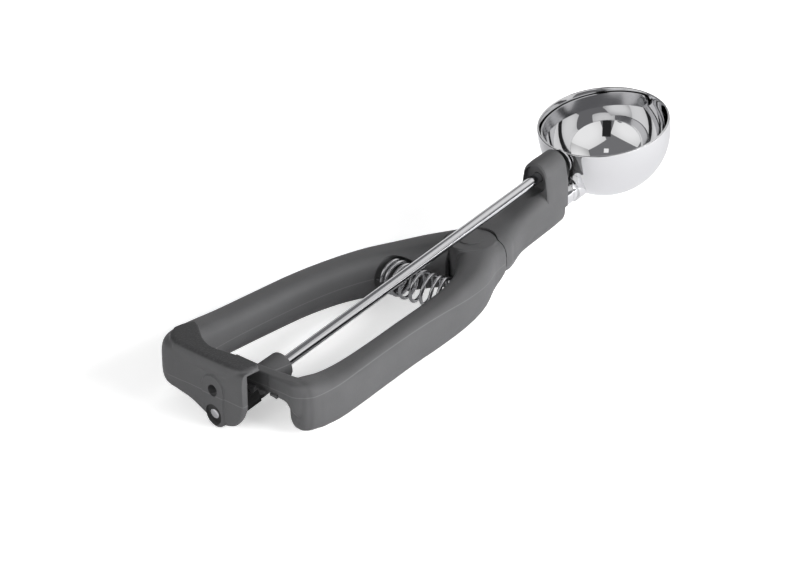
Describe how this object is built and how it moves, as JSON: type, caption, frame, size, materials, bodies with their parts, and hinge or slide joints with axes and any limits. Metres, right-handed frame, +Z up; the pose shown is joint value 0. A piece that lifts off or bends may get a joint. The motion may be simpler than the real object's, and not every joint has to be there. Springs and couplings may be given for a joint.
{
  "type": "squeeze-handle ice cream scoop",
  "caption": "Portion scoop with a polished round bowl, a sweeping release blade turned by a rack and pinion, and two spring-parted moulded squeeze handles",
  "frame": {"origin": "on the table under the middle of the tool's bounding box", "axes": "+X points forward to the bowl, +Y to the left of the tool, +Z up; the two handle halves lie in a level plane, and the drive rod, neck and bowl are tilted up to the front by 10.5 degrees"},
  "size_m": [0.2296, 0.0674, 0.0508],
  "materials": {
    "handle_nylon": "dark grey glass-filled nylon with a fine spark texture",
    "black_acetal": "black moulded acetal",
    "white_acetal": "natural white acetal",
    "polished_steel": "mirror-polished stainless steel",
    "satin_steel": "satin stainless steel",
    "spring_steel": "drawn stainless spring wire"
  },
  "bodies": {
    "handle": {"fixed_handle": "handle_nylon", "front_bush": "black_acetal", "scoop_bowl": "polished_steel", "bowl_stem": "polished_steel", "stem_ferrule": "polished_steel", "blade_tip_pin": "satin_steel", "hinge_pin": "satin_steel", "return_spring": "spring_steel", "thrust_washer": "satin_steel", "pinion_washer": "white_acetal"},
    "lever": {"squeeze_lever": "handle_nylon", "hinge_caps": "handle_nylon"},
    "drive": {"drive_rod": "polished_steel", "drive_pinion": "black_acetal", "pinion_pin": "satin_steel", "sweep_blade": "satin_steel", "blade_rivet": "satin_steel"}
  },
  "joints": [
    {"name": "lever_squeeze", "type": "hinge", "parent": "handle", "child": "lever", "pos_m": [0.01448, -0.00232, 0.01471], "axis": [0, 0, -1], "range_deg": [0, 7.3], "stiffness_Nm_per_rad": 8, "springref_deg": -2.86, "deforming": ["return_spring"]},
    {"name": "blade_sweep", "type": "hinge", "parent": "handle", "child": "drive", "pos_m": [0.08979, -0.00232, 0.04271], "axis": [-0.9833, 0, -0.1822], "range_deg": [0, 160.2]}
  ],
  "couplings": [
    {"joint": "blade_sweep", "follows": "lever_squeeze", "ratio": 21.943}
  ]
}
